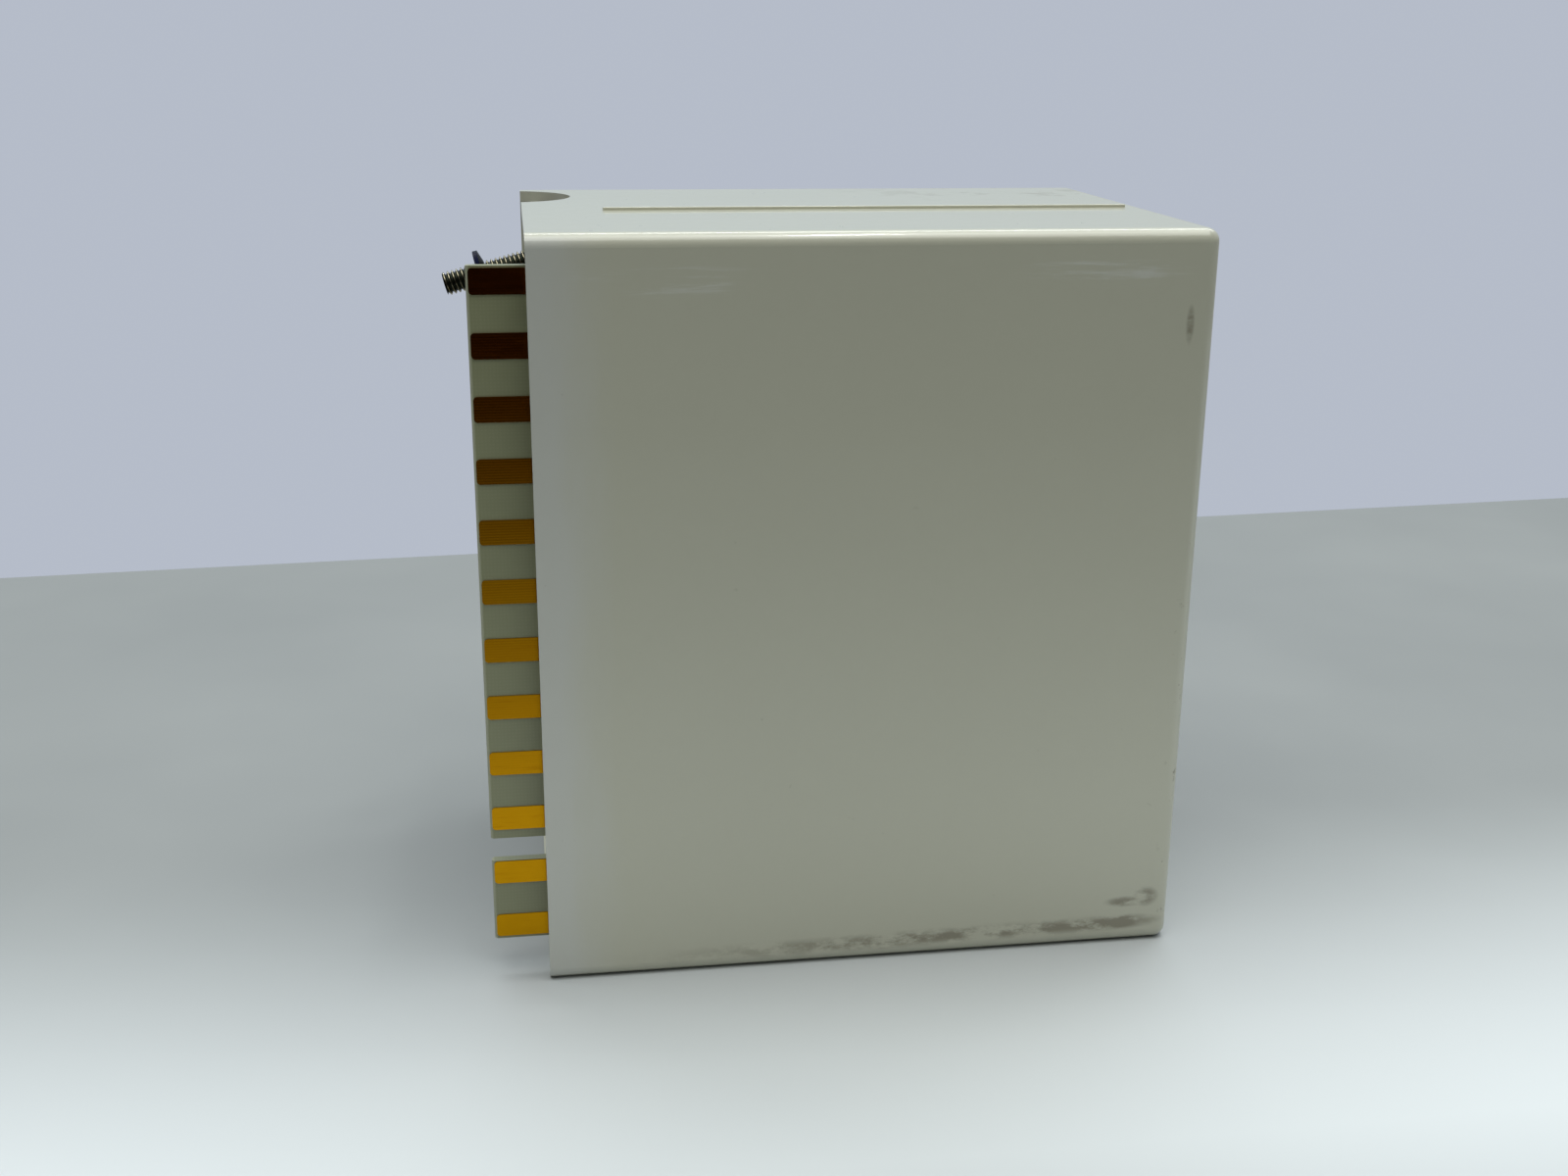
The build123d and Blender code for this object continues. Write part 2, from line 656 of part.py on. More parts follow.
FUSE_X = 12.0
FUSE_Y = BOARD_FAR + 5.5
FUSE_Z = (74.5, 86.5)


def fuse_tube():
    return rod((FUSE_X, FUSE_Y, FUSE_Z[0]), (0, 0, 1), 2.4, FUSE_Z[1] - FUSE_Z[0])


def fuse_caps():
    caps = []
    for z, direction in ((FUSE_Z[0], -1), (FUSE_Z[1], 1)):
        caps.append(fillet(rod((FUSE_X, FUSE_Y, z), (0, 0, direction), 2.6, 1.6).edges(), 0.2))
    return group(caps)


def fuse_clips():
    clips = []
    for z0 in (FUSE_Z[0] - 1.5, FUSE_Z[1] + 0.1):
        base = block(FUSE_X - 3.1, FUSE_X + 3.1, BOARD_FAR, FUSE_Y + 1.5, z0, z0 + 1.4)
        base -= rod((FUSE_X, FUSE_Y, z0 - 1), (0, 0, 1), 2.62, 4)
        clips.append(base - block(FUSE_X - 2.2, FUSE_X + 2.2, FUSE_Y, FUSE_Y + 4, z0 - 1, z0 + 3))
    return group(clips)


def build():
    os.makedirs("parts", exist_ok=True)
    export(cover(), "cover")
    export(label_block(0, PLATE_LABEL_THICKNESS), "nameplate")
    export(group(cover_screw(z) for z in TAB_Z), "cover_screws")
    export(cover_nuts(), "cover_nuts")
    export(chassis(), "chassis")
    export(standoffs(), "standoffs")
    export(board_screws(), "board_screws")
    export(chassis_screws(), "chassis_screws")
    export(main_board(), "main_board")
    export(edge_contacts(BOARD_Y - CONTACT_THICKNESS), "edge_contacts_near")
    export(edge_contacts(BOARD_FAR), "edge_contacts_far")
    export(jackscrew(), "jackscrew")
    export(jackscrew_washer(), "jackscrew_washer")
    export(push_on_retainer(), "push_on_retainer")
    export(status_led(), "status_led")
    export(led_holder(), "led_holder")
    export(trimmer(), "trimmer")
    export(trimmer_screw(), "trimmer_screw")
    export(heatsink(), "heatsink")
    export(heatsink_screws(), "heatsink_screws")
    export(triac_bodies(), "triac_bodies")
    export(triac_tabs(), "triac_tabs")
    export(triac_leads(), "triac_leads")
    export(triac_insulators(), "triac_insulators")
    export(triac_screws(), "triac_screws")
    export(transformer_core(), "transformer_core")
    export(transformer_coil(), "transformer_coil")
    export(transformer_bobbin(), "transformer_bobbin")
    export(transformer_strap(), "transformer_strap")
    export(filter_capacitors(), "filter_capacitors")
    export(bridge_rectifier(), "bridge_rectifier")
    export(optocouplers(), "optocouplers")
    export(optocoupler_pins(), "optocoupler_pins")
    export(logic_chips(), "logic_chips")
    export(logic_chip_pins(), "logic_chip_pins")
    export(snubber_capacitors(), "snubber_capacitors")
    export(varistors(), "varistors")
    export(varistor_leads(), "varistor_leads")
    export(resistors(), "resistors")
    export(resistor_leads(), "resistor_leads")
    export(dropping_resistor(), "dropping_resistor")
    export(fuse_tube(), "fuse_tube")
    export(fuse_caps(), "fuse_caps")
    export(fuse_clips(), "fuse_clips")


build()
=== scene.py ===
import json
import math

import bmesh
import bpy
from mathutils import Matrix, Vector


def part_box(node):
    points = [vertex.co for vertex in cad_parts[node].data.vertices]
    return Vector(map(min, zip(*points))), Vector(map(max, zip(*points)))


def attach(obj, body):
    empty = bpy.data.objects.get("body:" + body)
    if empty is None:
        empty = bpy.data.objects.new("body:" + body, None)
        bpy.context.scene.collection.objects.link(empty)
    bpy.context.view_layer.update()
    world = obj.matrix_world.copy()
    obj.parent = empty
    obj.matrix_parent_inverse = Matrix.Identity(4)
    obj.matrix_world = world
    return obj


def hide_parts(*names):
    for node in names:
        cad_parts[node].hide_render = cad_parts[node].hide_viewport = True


# Looks for a plug-in solid state relay: a worn beige cover, a circuit board with gold edge contacts, a
# captive jackscrew with a real thread, and the parts inside. Lengths are in metres.

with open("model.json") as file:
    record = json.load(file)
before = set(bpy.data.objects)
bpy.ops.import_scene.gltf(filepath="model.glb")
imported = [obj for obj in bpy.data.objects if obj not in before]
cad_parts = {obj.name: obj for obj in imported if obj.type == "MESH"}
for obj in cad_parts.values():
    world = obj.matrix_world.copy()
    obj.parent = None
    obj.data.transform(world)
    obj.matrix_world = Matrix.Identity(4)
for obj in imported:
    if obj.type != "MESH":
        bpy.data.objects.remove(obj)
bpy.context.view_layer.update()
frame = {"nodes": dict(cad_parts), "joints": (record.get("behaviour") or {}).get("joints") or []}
MM = 0.001

# Places worked out from the frame
COVER_LOW, COVER_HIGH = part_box("cover")
REAR_X = COVER_LOW.x
NEAR_Y = COVER_LOW.y
FLOOR_Z = COVER_LOW.z
TILT_JOINT = next(joint for joint in frame["joints"] if joint["name"] == "jackscrew_tilt")
SLIDE_JOINT = next(joint for joint in frame["joints"] if joint["name"] == "jackscrew_slide")
PIVOT = Vector(TILT_JOINT["pos_m"])
SCREW_AXIS = Vector(SLIDE_JOINT["axis"])

DUST = (0.40, 0.384, 0.352)


# ---- Shader nodes

class Surface:
    """One procedural material, built round a Principled shader."""

    def __init__(self, name, **settings):
        self.material = bpy.data.materials.new(name)
        self.material.use_nodes = True
        self.tree = self.material.node_tree
        self.shader = self.tree.nodes["Principled BSDF"]
        self.set(**settings)
        coordinates = self.tree.nodes.new("ShaderNodeTexCoord")
        self.place = coordinates.outputs["Object"]

    def set(self, **settings):
        """Sets shader inputs, such as Coat_Weight=0.2, to a constant or another node's output."""
        for name, value in settings.items():
            self.connect(self.shader.inputs[name.replace("_", " ")], value)

    def connect(self, socket, value):
        if isinstance(value, bpy.types.NodeSocket):
            self.tree.links.new(value, socket)
        elif isinstance(value, tuple) and len(value) == 3 and socket.type == "RGBA":
            socket.default_value = (*value, 1.0)
        else:
            socket.default_value = value

    def add(self, kind, inputs, **settings):
        node = self.tree.nodes.new("ShaderNode" + kind)
        for name, value in settings.items():
            setattr(node, name, value)
        for name, value in inputs.items():
            self.connect(node.inputs[name], value)
        return node

    def math(self, operation, first, second=0.0, clamp=False):
        node = self.add("Math", {0: first, 1: second}, operation=operation, use_clamp=clamp)
        return node.outputs[0]

    def times(self, first, second):
        return self.math("MULTIPLY", first, second)

    def plus(self, first, second, clamp=False):
        return self.math("ADD", first, second, clamp)

    def step(self, value, low, high):
        """A smooth step from 0 at low to 1 at high."""
        node = self.add(
            "MapRange",
            {"Value": value, "From Min": low, "From Max": high},
            interpolation_type="SMOOTHSTEP",
        )
        return node.outputs[0]

    def axis(self, letter, vector=None):
        node = self.add("SeparateXYZ", {0: vector or self.place})
        return node.outputs[letter]

    def stretch(self, x, y, z):
        """The place with each axis scaled."""
        node = self.add("VectorMath", {0: self.place, 1: (x, y, z)}, operation="MULTIPLY")
        return node.outputs[0]

    def noise(self, scale, detail=4.0, roughness=0.55, vector=None, distortion=0.0):
        inputs = {
            "Vector": vector or self.place,
            "Scale": scale,
            "Detail": detail,
            "Roughness": roughness,
            "Distortion": distortion,
        }
        return self.add("TexNoise", inputs).outputs[0]

    def cells(self, scale, vector=None):
        """Distance to the nearest of many random points."""
        return self.add("TexVoronoi", {"Vector": vector or self.place, "Scale": scale}).outputs[0]

    def waves(self, letter, period, distortion=0.0):
        """Lines across an axis, one each period."""
        inputs = {"Vector": self.place, "Scale": math.pi / (10 * period), "Distortion": distortion}
        return self.add("TexWave", inputs, bands_direction=letter).outputs["Fac"]

    def mix(self, first, second, factor):
        node = self.add("Mix", {}, data_type="RGBA")
        self.connect(node.inputs[6], first)
        self.connect(node.inputs[7], second)
        self.connect(node.inputs[0], factor)
        return node.outputs[2]

    def between(self, low, high, factor):
        """A number that goes from low to high as factor goes from 0 to 1."""
        node = self.add("MapRange", {"Value": factor, "To Min": low, "To Max": high})
        return node.outputs[0]

    def bump(self, height, strength, distance, below=None):
        inputs = {"Height": height, "Strength": strength, "Distance": distance}
        if below:
            inputs["Normal"] = below
        return self.add("Bump", inputs).outputs[0]


def shade(color, factor):
    return tuple(channel * factor for channel in color)


# ---- Materials

def plastic(name, color, roughness=0.4, grain=2500, variation=0.12, **settings):
    """Moulded plastic: slow colour drift, fine grain, and smears in the gloss."""
    surface = Surface(name, **settings)
    drift = surface.noise(90, 5)
    fine = surface.noise(grain, 2)
    smear = surface.noise(160, 6, 0.65, distortion=0.6)
    base = surface.mix(shade(color, 1 - variation), shade(color, 1 + variation), drift)
    dust = surface.times(surface.step(smear, 0.55, 0.85), 0.12)
    dusty = surface.mix(base, DUST, dust)
    surface.set(
        Base_Color=dusty,
        Roughness=surface.between(roughness - 0.08, roughness + 0.14, smear),
        Normal=surface.bump(fine, 0.12, 0.05 * MM),
    )
    return surface.material


def metal(name, color, roughness=0.32, brushed=(1, 1, 1), variation=0.15, tarnish=None, **settings):
    """Bare or plated metal: brushing, blotches and fine scratches."""
    surface = Surface(name, Metallic=1.0, **settings)
    blotch = surface.noise(220, 5, 0.6)
    lines = surface.noise(1800, 3, 0.6, vector=surface.stretch(*brushed))
    scratch = surface.noise(700, 2, 0.5, vector=surface.stretch(1, 6, 0.7), distortion=2.0)
    base = surface.mix(shade(color, 1 - variation), shade(color, 1 + variation / 2), lines)
    tarnished = surface.times(surface.step(blotch, 0.5, 0.8), 0.4)
    dull = surface.mix(base, tarnish or shade(color, 0.55), tarnished)
    wear = surface.plus(surface.times(blotch, 0.6), surface.times(scratch, 0.4))
    surface.set(
        Base_Color=dull,
        Roughness=surface.between(roughness - 0.1, roughness + 0.18, wear),
        Normal=surface.bump(lines, 0.15, 0.03 * MM),
    )
    return surface.material


def patch(surface, center_x, center_z, radius_x, radius_z):
    """1 at a place on the near face, falling to 0 at an ellipse round it."""
    across = surface.math("DIVIDE", surface.math("SUBTRACT", surface.axis("X"), center_x), radius_x)
    up = surface.math("DIVIDE", surface.math("SUBTRACT", surface.axis("Z"), center_z), radius_z)
    squared = surface.plus(surface.times(across, across), surface.times(up, up))
    return surface.step(squared, 1.0, 0.0)


def from_rear(distance):
    return REAR_X + distance * MM


def cover_material():
    """Glossy beige moulding: pale scuffs high on the near face, grime along its bottom and front edges."""
    surface = Surface("cover_beige", Coat_Weight=0.7, Coat_Roughness=0.06, IOR=1.5)
    clean = (0.525, 0.525, 0.42)
    x, y, z = surface.axis("X"), surface.axis("Y"), surface.axis("Z")
    near = surface.step(y, NEAR_Y + 1.2 * MM, NEAR_Y + 0.2 * MM)
    drift = surface.noise(18, 3)
    mottle = surface.noise(420, 4, 0.6)
    cloud = surface.plus(surface.times(drift, 0.7), surface.times(mottle, 0.3))
    base = surface.mix(shade(clean, 0.965), shade(clean, 1.035), cloud)

    # Paler and bluer along the rear edge of the near face
    rim_tint_noise = surface.noise(70, 3, 0.5, vector=surface.stretch(2.2, 1, 0.5))
    rim_tint_edge = surface.plus(from_rear(11), surface.times(rim_tint_noise, -10 * MM))
    rim_tint = surface.step(x, surface.plus(rim_tint_edge, 7 * MM), surface.plus(rim_tint_edge, -4 * MM))
    base = surface.mix(base, (0.56, 0.575, 0.545), surface.times(surface.times(rim_tint, near), 0.7))

    # Pale scuffs below the top edge, at both ends
    scuff_lines = surface.noise(300, 5, 0.7, vector=surface.stretch(0.16, 1, 2.4), distortion=0.4)
    scuff_breaks = surface.noise(60, 3)
    left = patch(surface, from_rear(18), 113.0 * MM, 26 * MM, 3.0 * MM)
    right = patch(surface, from_rear(88), 114.0 * MM, 18 * MM, 3.0 * MM)
    band = surface.math("MAXIMUM", left, right)
    scuffs = surface.times(surface.step(scuff_lines, 0.50, 0.68), surface.step(scuff_breaks, 0.40, 0.60))
    scuffs = surface.times(surface.times(scuffs, band), near)
    base = surface.mix(base, (0.72, 0.74, 0.72), surface.times(scuffs, 0.5))

    grime = grime_mask(surface, x, y, z, near)
    base = surface.mix(base, (0.105, 0.078, 0.036), grime)

    # A few dark hairlines
    hairline = surface.step(surface.cells(45, surface.stretch(1, 1, 0.06)), 0.010, 0.0)
    base = surface.mix(base, (0.24, 0.22, 0.17), surface.times(surface.times(hairline, near), 0.2))

    # Slow waves and orange peel in the gloss
    wave = surface.noise(26, 2)
    peel = surface.noise(1500, 2, 0.5)
    bumps = surface.bump(wave, 0.03, 1.0 * MM)
    surface.set(
        Base_Color=base,
        Roughness=surface.plus(surface.between(0.24, 0.36, mottle), surface.times(grime, 0.35), clamp=True),
        Normal=surface.bump(peel, 0.03, 0.04 * MM, below=bumps),
    )
    return surface.material


def grime_mask(surface, x, y, z, near):
    """Brown dirt: a line above the bottom edge, smudges near the front edge, specks, a stain on top."""
    height = surface.plus(2.6 * MM, surface.times(surface.math("SUBTRACT", x, REAR_X), 0.012))
    off_line = surface.math("ABSOLUTE", surface.math("SUBTRACT", z, height))
    blotch = surface.noise(260, 5, 0.7, vector=surface.stretch(0.7, 1, 1.6))
    line = surface.times(surface.step(off_line, 1.9 * MM, 0.3 * MM), surface.step(blotch, 0.40, 0.62))
    line = surface.times(line, surface.step(x, from_rear(5), from_rear(60)))
    line = surface.times(line, surface.step(x, from_rear(100), from_rear(95)))

    corner = surface.times(patch(surface, from_rear(98.0), 3.9 * MM, 6.5 * MM, 1.5 * MM), 0.8)
    smudges = ((100.4, 8.4, 2.6, 2.2), (97.0, 7.6, 4.5, 1.2), (100.5, 105.5, 0.8, 3.5))
    for across, up, width, tall in smudges:
        smudge = patch(surface, from_rear(across), up * MM, width * MM, tall * MM)
        corner = surface.math("MAXIMUM", corner, smudge)
    corner = surface.times(corner, surface.step(blotch, 0.28, 0.60))

    front_edge = surface.times(surface.step(x, from_rear(101.5), from_rear(103.0)),
                               surface.step(z, 68 * MM, 58 * MM))
    edge_specks = surface.times(front_edge, surface.step(surface.noise(420, 4, 0.7), 0.60, 0.70))

    specks = surface.step(surface.noise(900, 3, 0.6), 0.66, 0.74)
    groups = 0.015
    for across, up in ((35, 30), (49, 27), (25, 50)):
        group = patch(surface, from_rear(across), up * MM, 3.5 * MM, 2.5 * MM)
        groups = surface.math("MAXIMUM", groups, group)
    specks = surface.times(specks, surface.times(groups, 0.7))

    dirt = surface.plus(line, corner, clamp=True)
    side = surface.plus(dirt, surface.plus(edge_specks, specks, clamp=True), clamp=True)
    above = surface.step(z, 118.5 * MM, 119.8 * MM)
    along_rib, past_rib = surface.step(x, from_rear(45), from_rear(85)), surface.step(y, 8 * MM, 20 * MM)
    beside_rib = surface.times(along_rib, past_rib)
    stain = surface.times(surface.step(surface.noise(90, 5, 0.65), 0.50, 0.66), beside_rib)
    top = surface.times(surface.times(above, stain), 0.35)
    return surface.plus(surface.times(surface.times(side, near), 0.62), top, clamp=True)


def laminate_material():
    """Bare glass-epoxy board: pale green-grey, with the cloth's weave just showing."""
    surface = Surface("board_laminate", Coat_Weight=0.25, Coat_Roughness=0.2)
    weave = surface.times(surface.waves("X", 0.55 * MM), surface.waves("Z", 0.55 * MM))
    drift = surface.noise(60, 4)
    color = surface.mix((0.228, 0.240, 0.133), (0.270, 0.282, 0.162), drift)
    color = surface.mix(color, (0.34, 0.345, 0.23), surface.times(weave, 0.18))
    bevel = surface.step(surface.axis("X"), from_rear(-8.2), from_rear(-8.5))
    color = surface.mix(color, (0.40, 0.40, 0.30), surface.times(bevel, 0.5))
    surface.set(
        Base_Color=color,
        Roughness=surface.between(0.34, 0.5, drift),
        Normal=surface.bump(weave, 0.12, 0.04 * MM),
    )
    return surface.material


def gold_material():
    """Gold plate that shows the board's weave and is scratched by insertion, with painted dark reflections
    that make it darker and redder towards the top.
    """
    surface = Surface("contact_gold", Metallic=1.0)
    warp, weft = surface.waves("Z", 0.42 * MM, 0.4), surface.waves("X", 0.6 * MM, 0.4)
    weave = surface.plus(warp, surface.times(weft, 0.5))
    drag = surface.noise(1500, 3, 0.6, vector=surface.stretch(0.08, 1, 1))
    stain = surface.noise(150, 4, 0.6)
    color = surface.mix((0.50, 0.235, 0.003), (0.60, 0.30, 0.005), stain)
    height = surface.axis("Z")
    # Painted dark reflections: the gold gets darker from 10 mm up, then darker and redder above 60 mm
    painted_dim_reflection = surface.step(height, FLOOR_Z + 10 * MM, FLOOR_Z + 60 * MM)
    color = surface.mix(color, (0.38, 0.17, 0.003), painted_dim_reflection)
    painted_dark_reflection = surface.step(height, FLOOR_Z + 60 * MM, FLOOR_Z + 108 * MM)
    color = surface.mix(color, (0.24, 0.055, 0.002), painted_dark_reflection)
    scratched = surface.times(surface.step(drag, 0.55, 0.75), 0.35)
    color = surface.mix(color, (0.30, 0.10, 0.002), scratched)
    surface.set(
        Base_Color=color,
        Roughness=surface.between(0.16, 0.28, drag),
        Normal=surface.bump(weave, 0.2, 0.01 * MM),
    )
    return surface.material


def lamination_material():
    """A stack of steel sheets, rusting at the edges."""
    surface = Surface("core_laminations", Metallic=0.7)
    sheets = surface.waves("Y", 0.5 * MM)
    rust = surface.noise(300, 5, 0.65)
    color = surface.mix((0.10, 0.095, 0.09), (0.26, 0.25, 0.24), sheets)
    color = surface.mix(color, (0.20, 0.09, 0.04), surface.times(surface.step(rust, 0.58, 0.75), 0.6))
    surface.set(Base_Color=color, Roughness=0.45, Normal=surface.bump(sheets, 0.6, 0.15 * MM))
    return surface.material


def winding_material():
    """Amber tape over the turns of a coil."""
    surface = Surface("coil_tape", Coat_Weight=0.4, Coat_Roughness=0.2)
    turns = surface.waves("X", 0.9 * MM, 0.3)
    crease = surface.noise(220, 5, 0.6)
    color = surface.mix((0.62, 0.42, 0.07), (0.80, 0.62, 0.16), crease)
    color = surface.mix(color, (0.40, 0.20, 0.05), surface.times(turns, 0.25))
    surface.set(Base_Color=color, Roughness=0.38, Normal=surface.bump(turns, 0.35, 0.15 * MM))
    return surface.material


def resistor_material():
    """Tan bodies with four colour rings."""
    surface = Surface("resistor_bodies", Coat_Weight=0.5, Coat_Roughness=0.15)
    low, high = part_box("resistors")
    color = surface.mix((0.50, 0.34, 0.18), (0.62, 0.45, 0.27), surface.noise(500, 3))
    rings = (
        (0.22, (0.32, 0.03, 0.02)),
        (0.38, (0.04, 0.02, 0.01)),
        (0.54, (0.55, 0.25, 0.02)),
        (0.80, (0.55, 0.40, 0.10)),
    )
    for share, ring in rings:
        middle = low.z + share * (high.z - low.z)
        distance = surface.math("ABSOLUTE", surface.math("SUBTRACT", surface.axis("Z"), middle))
        color = surface.mix(color, ring, surface.step(distance, 0.34 * MM, 0.26 * MM))
    surface.set(Base_Color=color, Roughness=0.3)
    return surface.material


def nameplate_material():
    """Brushed aluminium with a thin dark border, and no lettering."""
    surface = Surface("nameplate_brushed", Metallic=1.0)
    low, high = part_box("nameplate")
    middle = (low + high) / 2
    lines = surface.noise(2600, 3, 0.6, vector=surface.stretch(1, 0.03, 1))
    inset = 3 * MM
    across = surface.math("ABSOLUTE", surface.math("SUBTRACT", surface.axis("Y"), middle.y))
    up = surface.math("ABSOLUTE", surface.math("SUBTRACT", surface.axis("Z"), middle.z))
    from_edge = surface.math(
        "MAXIMUM",
        surface.math("SUBTRACT", across, (high.y - low.y) / 2 - inset),
        surface.math("SUBTRACT", up, (high.z - low.z) / 2 - inset),
    )
    border = surface.step(surface.math("ABSOLUTE", from_edge), 0.45 * MM, 0.3 * MM)
    color = surface.mix((0.50, 0.50, 0.48), (0.72, 0.72, 0.70), lines)
    color = surface.mix(color, (0.03, 0.03, 0.035), border)
    surface.set(
        Base_Color=color,
        Roughness=surface.between(0.28, 0.46, lines),
        Normal=surface.bump(lines, 0.2, 0.02 * MM),
    )
    return surface.material


def lens_material():
    """Diffused red epoxy."""
    surface = Surface("led_lens", Subsurface_Weight=0.35, Subsurface_Scale=1.5 * MM, Coat_Weight=0.6)
    surface.shader.inputs["Subsurface Radius"].default_value = (1.0, 0.2, 0.1)
    cloud = surface.noise(500, 3)
    surface.set(Base_Color=surface.mix((0.42, 0.012, 0.01), (0.60, 0.03, 0.02), cloud), Roughness=0.22)
    return surface.material


def glass_material():
    """Clear glass with some dust."""
    surface = Surface("fuse_glass", Transmission_Weight=0.9, IOR=1.47)
    dust = surface.noise(600, 4)
    surface.set(Base_Color=surface.mix((0.80, 0.88, 0.86), (0.92, 0.95, 0.94), dust),
                Roughness=surface.between(0.02, 0.12, dust))
    return surface.material


def paint_nodes():
    """Gives every CAD node its material."""
    bright = metal("zinc_bright", (0.62, 0.63, 0.64), 0.3)
    tin = metal("tin_plate", (0.66, 0.66, 0.67), 0.28)
    epoxy = plastic("package_epoxy", (0.022, 0.022, 0.025), 0.5)
    gold = gold_material()
    sheet = metal("chassis_aluminium", (0.66, 0.66, 0.63), 0.36, (1, 0.04, 1), tarnish=(0.48, 0.44, 0.34))
    oxide = metal("black_oxide", (0.004, 0.005, 0.016), 0.42, tarnish=(0.014, 0.011, 0.009))
    looks = {
        "cover": cover_material(),
        "nameplate": nameplate_material(),
        "chassis": sheet,
        "standoffs": metal("standoff_aluminium", (0.74, 0.74, 0.73), 0.3, (1, 0.05, 1)),
        "main_board": laminate_material(),
        "edge_contacts_near": gold,
        "edge_contacts_far": gold,
        "push_on_retainer": oxide,
        "status_led": lens_material(),
        "led_holder": plastic("holder_black", (0.02, 0.02, 0.02), 0.45),
        "trimmer": plastic("trimmer_blue", (0.02, 0.07, 0.30), 0.35),
        "trimmer_screw": metal("trimmer_brass", (0.70, 0.48, 0.18), 0.3),
        "heatsink": plastic("black_anodised", (0.016, 0.016, 0.018), 0.36, Metallic=0.5),
        "triac_bodies": epoxy,
        "triac_insulators": plastic("mica_sheet", (0.55, 0.48, 0.33), 0.3),
        "transformer_core": lamination_material(),
        "transformer_coil": winding_material(),
        "transformer_bobbin": plastic("bobbin_nylon", (0.62, 0.60, 0.50), 0.45, Subsurface_Weight=0.1),
        "transformer_strap": metal("strap_steel", (0.55, 0.56, 0.57), 0.34, (1, 1, 0.05)),
        "filter_capacitors": plastic("sleeve_blue", (0.025, 0.06, 0.20), 0.28, Coat_Weight=0.4),
        "bridge_rectifier": epoxy,
        "optocouplers": epoxy,
        "logic_chips": epoxy,
        "snubber_capacitors": plastic("film_yellow", (0.62, 0.38, 0.04), 0.3, Coat_Weight=0.3),
        "varistors": plastic("varistor_orange", (0.48, 0.13, 0.025), 0.32, Coat_Weight=0.3),
        "resistors": resistor_material(),
        "dropping_resistor": plastic("cement_white", (0.66, 0.65, 0.58), 0.6, grain=1200),
        "fuse_tube": glass_material(),
        "fuse_caps": metal("nickel_plate", (0.70, 0.68, 0.62), 0.22),
    }
    for node in ("cover_screws", "cover_nuts", "board_screws", "chassis_screws", "heatsink_screws",
                 "triac_screws", "jackscrew_washer"):
        looks[node] = bright
    for node in ("triac_tabs", "triac_leads", "optocoupler_pins", "logic_chip_pins", "varistor_leads",
                 "resistor_leads", "fuse_clips"):
        looks[node] = tin
    for node, material in looks.items():
        for slot in frame["nodes"][node].material_slots:
            slot.material = material


# ---- Jackscrew with a real thread

PITCH = 25.4 * MM / 32
MAJOR = 2.08 * MM
MINOR = 1.60 * MM
TIP_RADIUS = 1.90 * MM
TIP_AT = -16.7 * MM
HEAD_AT = 2.35 * MM
HEAD_RADIUS = 3.4 * MM
HEAD_HEIGHT = 3.0 * MM
SLOT_DEPTH = 1.3 * MM
SLOT_WIDTH = 1.1 * MM


def thread_radius(share, along):
    """The thread's radius at a share of one pitch, cut down to a cone at both ends."""
    crest, root = 0.125, 0.25
    flank = (1 - crest - root) / 2
    if share < crest:
        radius = MAJOR
    elif share < crest + flank:
        radius = MAJOR - (MAJOR - MINOR) * (share - crest) / flank
    elif share < crest + flank + root:
        radius = MINOR
    else:
        radius = MINOR + (MAJOR - MINOR) * (share - crest - flank - root) / flank
    from_end = min(along - TIP_AT, HEAD_AT - along)
    return min(radius, TIP_RADIUS + from_end * 1.1)


def thread_mesh(mesh):
    """Rows of vertices that follow the helix, so that each crest is one clean edge."""
    around, shares = 40, (0.0, 0.06, 0.125, 0.28, 0.4375, 0.56, 0.6875, 0.84)
    turns = math.ceil((HEAD_AT - TIP_AT) / PITCH) + 1
    rows = []
    for turn in range(-1, turns):
        for share in shares:
            row = []
            for step in range(around + 1):
                along = TIP_AT + (turn + share + step / around) * PITCH
                along = min(max(along, TIP_AT), HEAD_AT)
                angle = 2 * math.pi * step / around
                radius = thread_radius(share, along)
                row.append(mesh.verts.new((along, radius * math.cos(angle), radius * math.sin(angle))))
            rows.append(row)
    for first, second in zip(rows, rows[1:]):
        for step in range(around):
            mesh.faces.new((first[step], second[step], second[step + 1], first[step + 1]))
    bmesh.ops.remove_doubles(mesh, verts=mesh.verts[:], dist=0.002 * MM)
    loose = [edge for edge in mesh.edges if edge.is_boundary]
    bmesh.ops.holes_fill(mesh, edges=loose)


def head_mesh(mesh):
    """A lathed pan head with a rolled edge."""
    around = 48
    top = HEAD_AT + HEAD_HEIGHT
    outline = [(HEAD_AT, 0.0), (HEAD_AT, HEAD_RADIUS - 0.15 * MM), (HEAD_AT + 0.15 * MM, HEAD_RADIUS)]
    roll = 0.9 * MM
    for step in range(7):
        angle = math.pi / 2 * step / 6
        outline.append((top - roll + roll * math.sin(angle), HEAD_RADIUS - roll + roll * math.cos(angle)))
    outline.append((top + 0.05 * MM, 0.0))
    rings = []
    for along, radius in outline:
        count = around if radius > 0 else 1
        rings.append([
            mesh.verts.new((along, radius * math.cos(2 * math.pi * step / around),
                            radius * math.sin(2 * math.pi * step / around)))
            for step in range(count)
        ])
    for first, second in zip(rings, rings[1:]):
        for step in range(around):
            corners = [first[step % len(first)], second[step % len(second)],
                       second[(step + 1) % len(second)], first[(step + 1) % len(first)]]
            mesh.faces.new(list(dict.fromkeys(corners)))


def new_object(name, build):
    """A mesh object from a function that fills a bmesh."""
    mesh = bmesh.new()
    build(mesh)
    bmesh.ops.recalc_face_normals(mesh, faces=mesh.faces[:])
    data = bpy.data.meshes.new(name)
    mesh.to_mesh(data)
    mesh.free()
    thing = bpy.data.objects.new(name, data)
    bpy.context.scene.collection.objects.link(thing)
    return thing


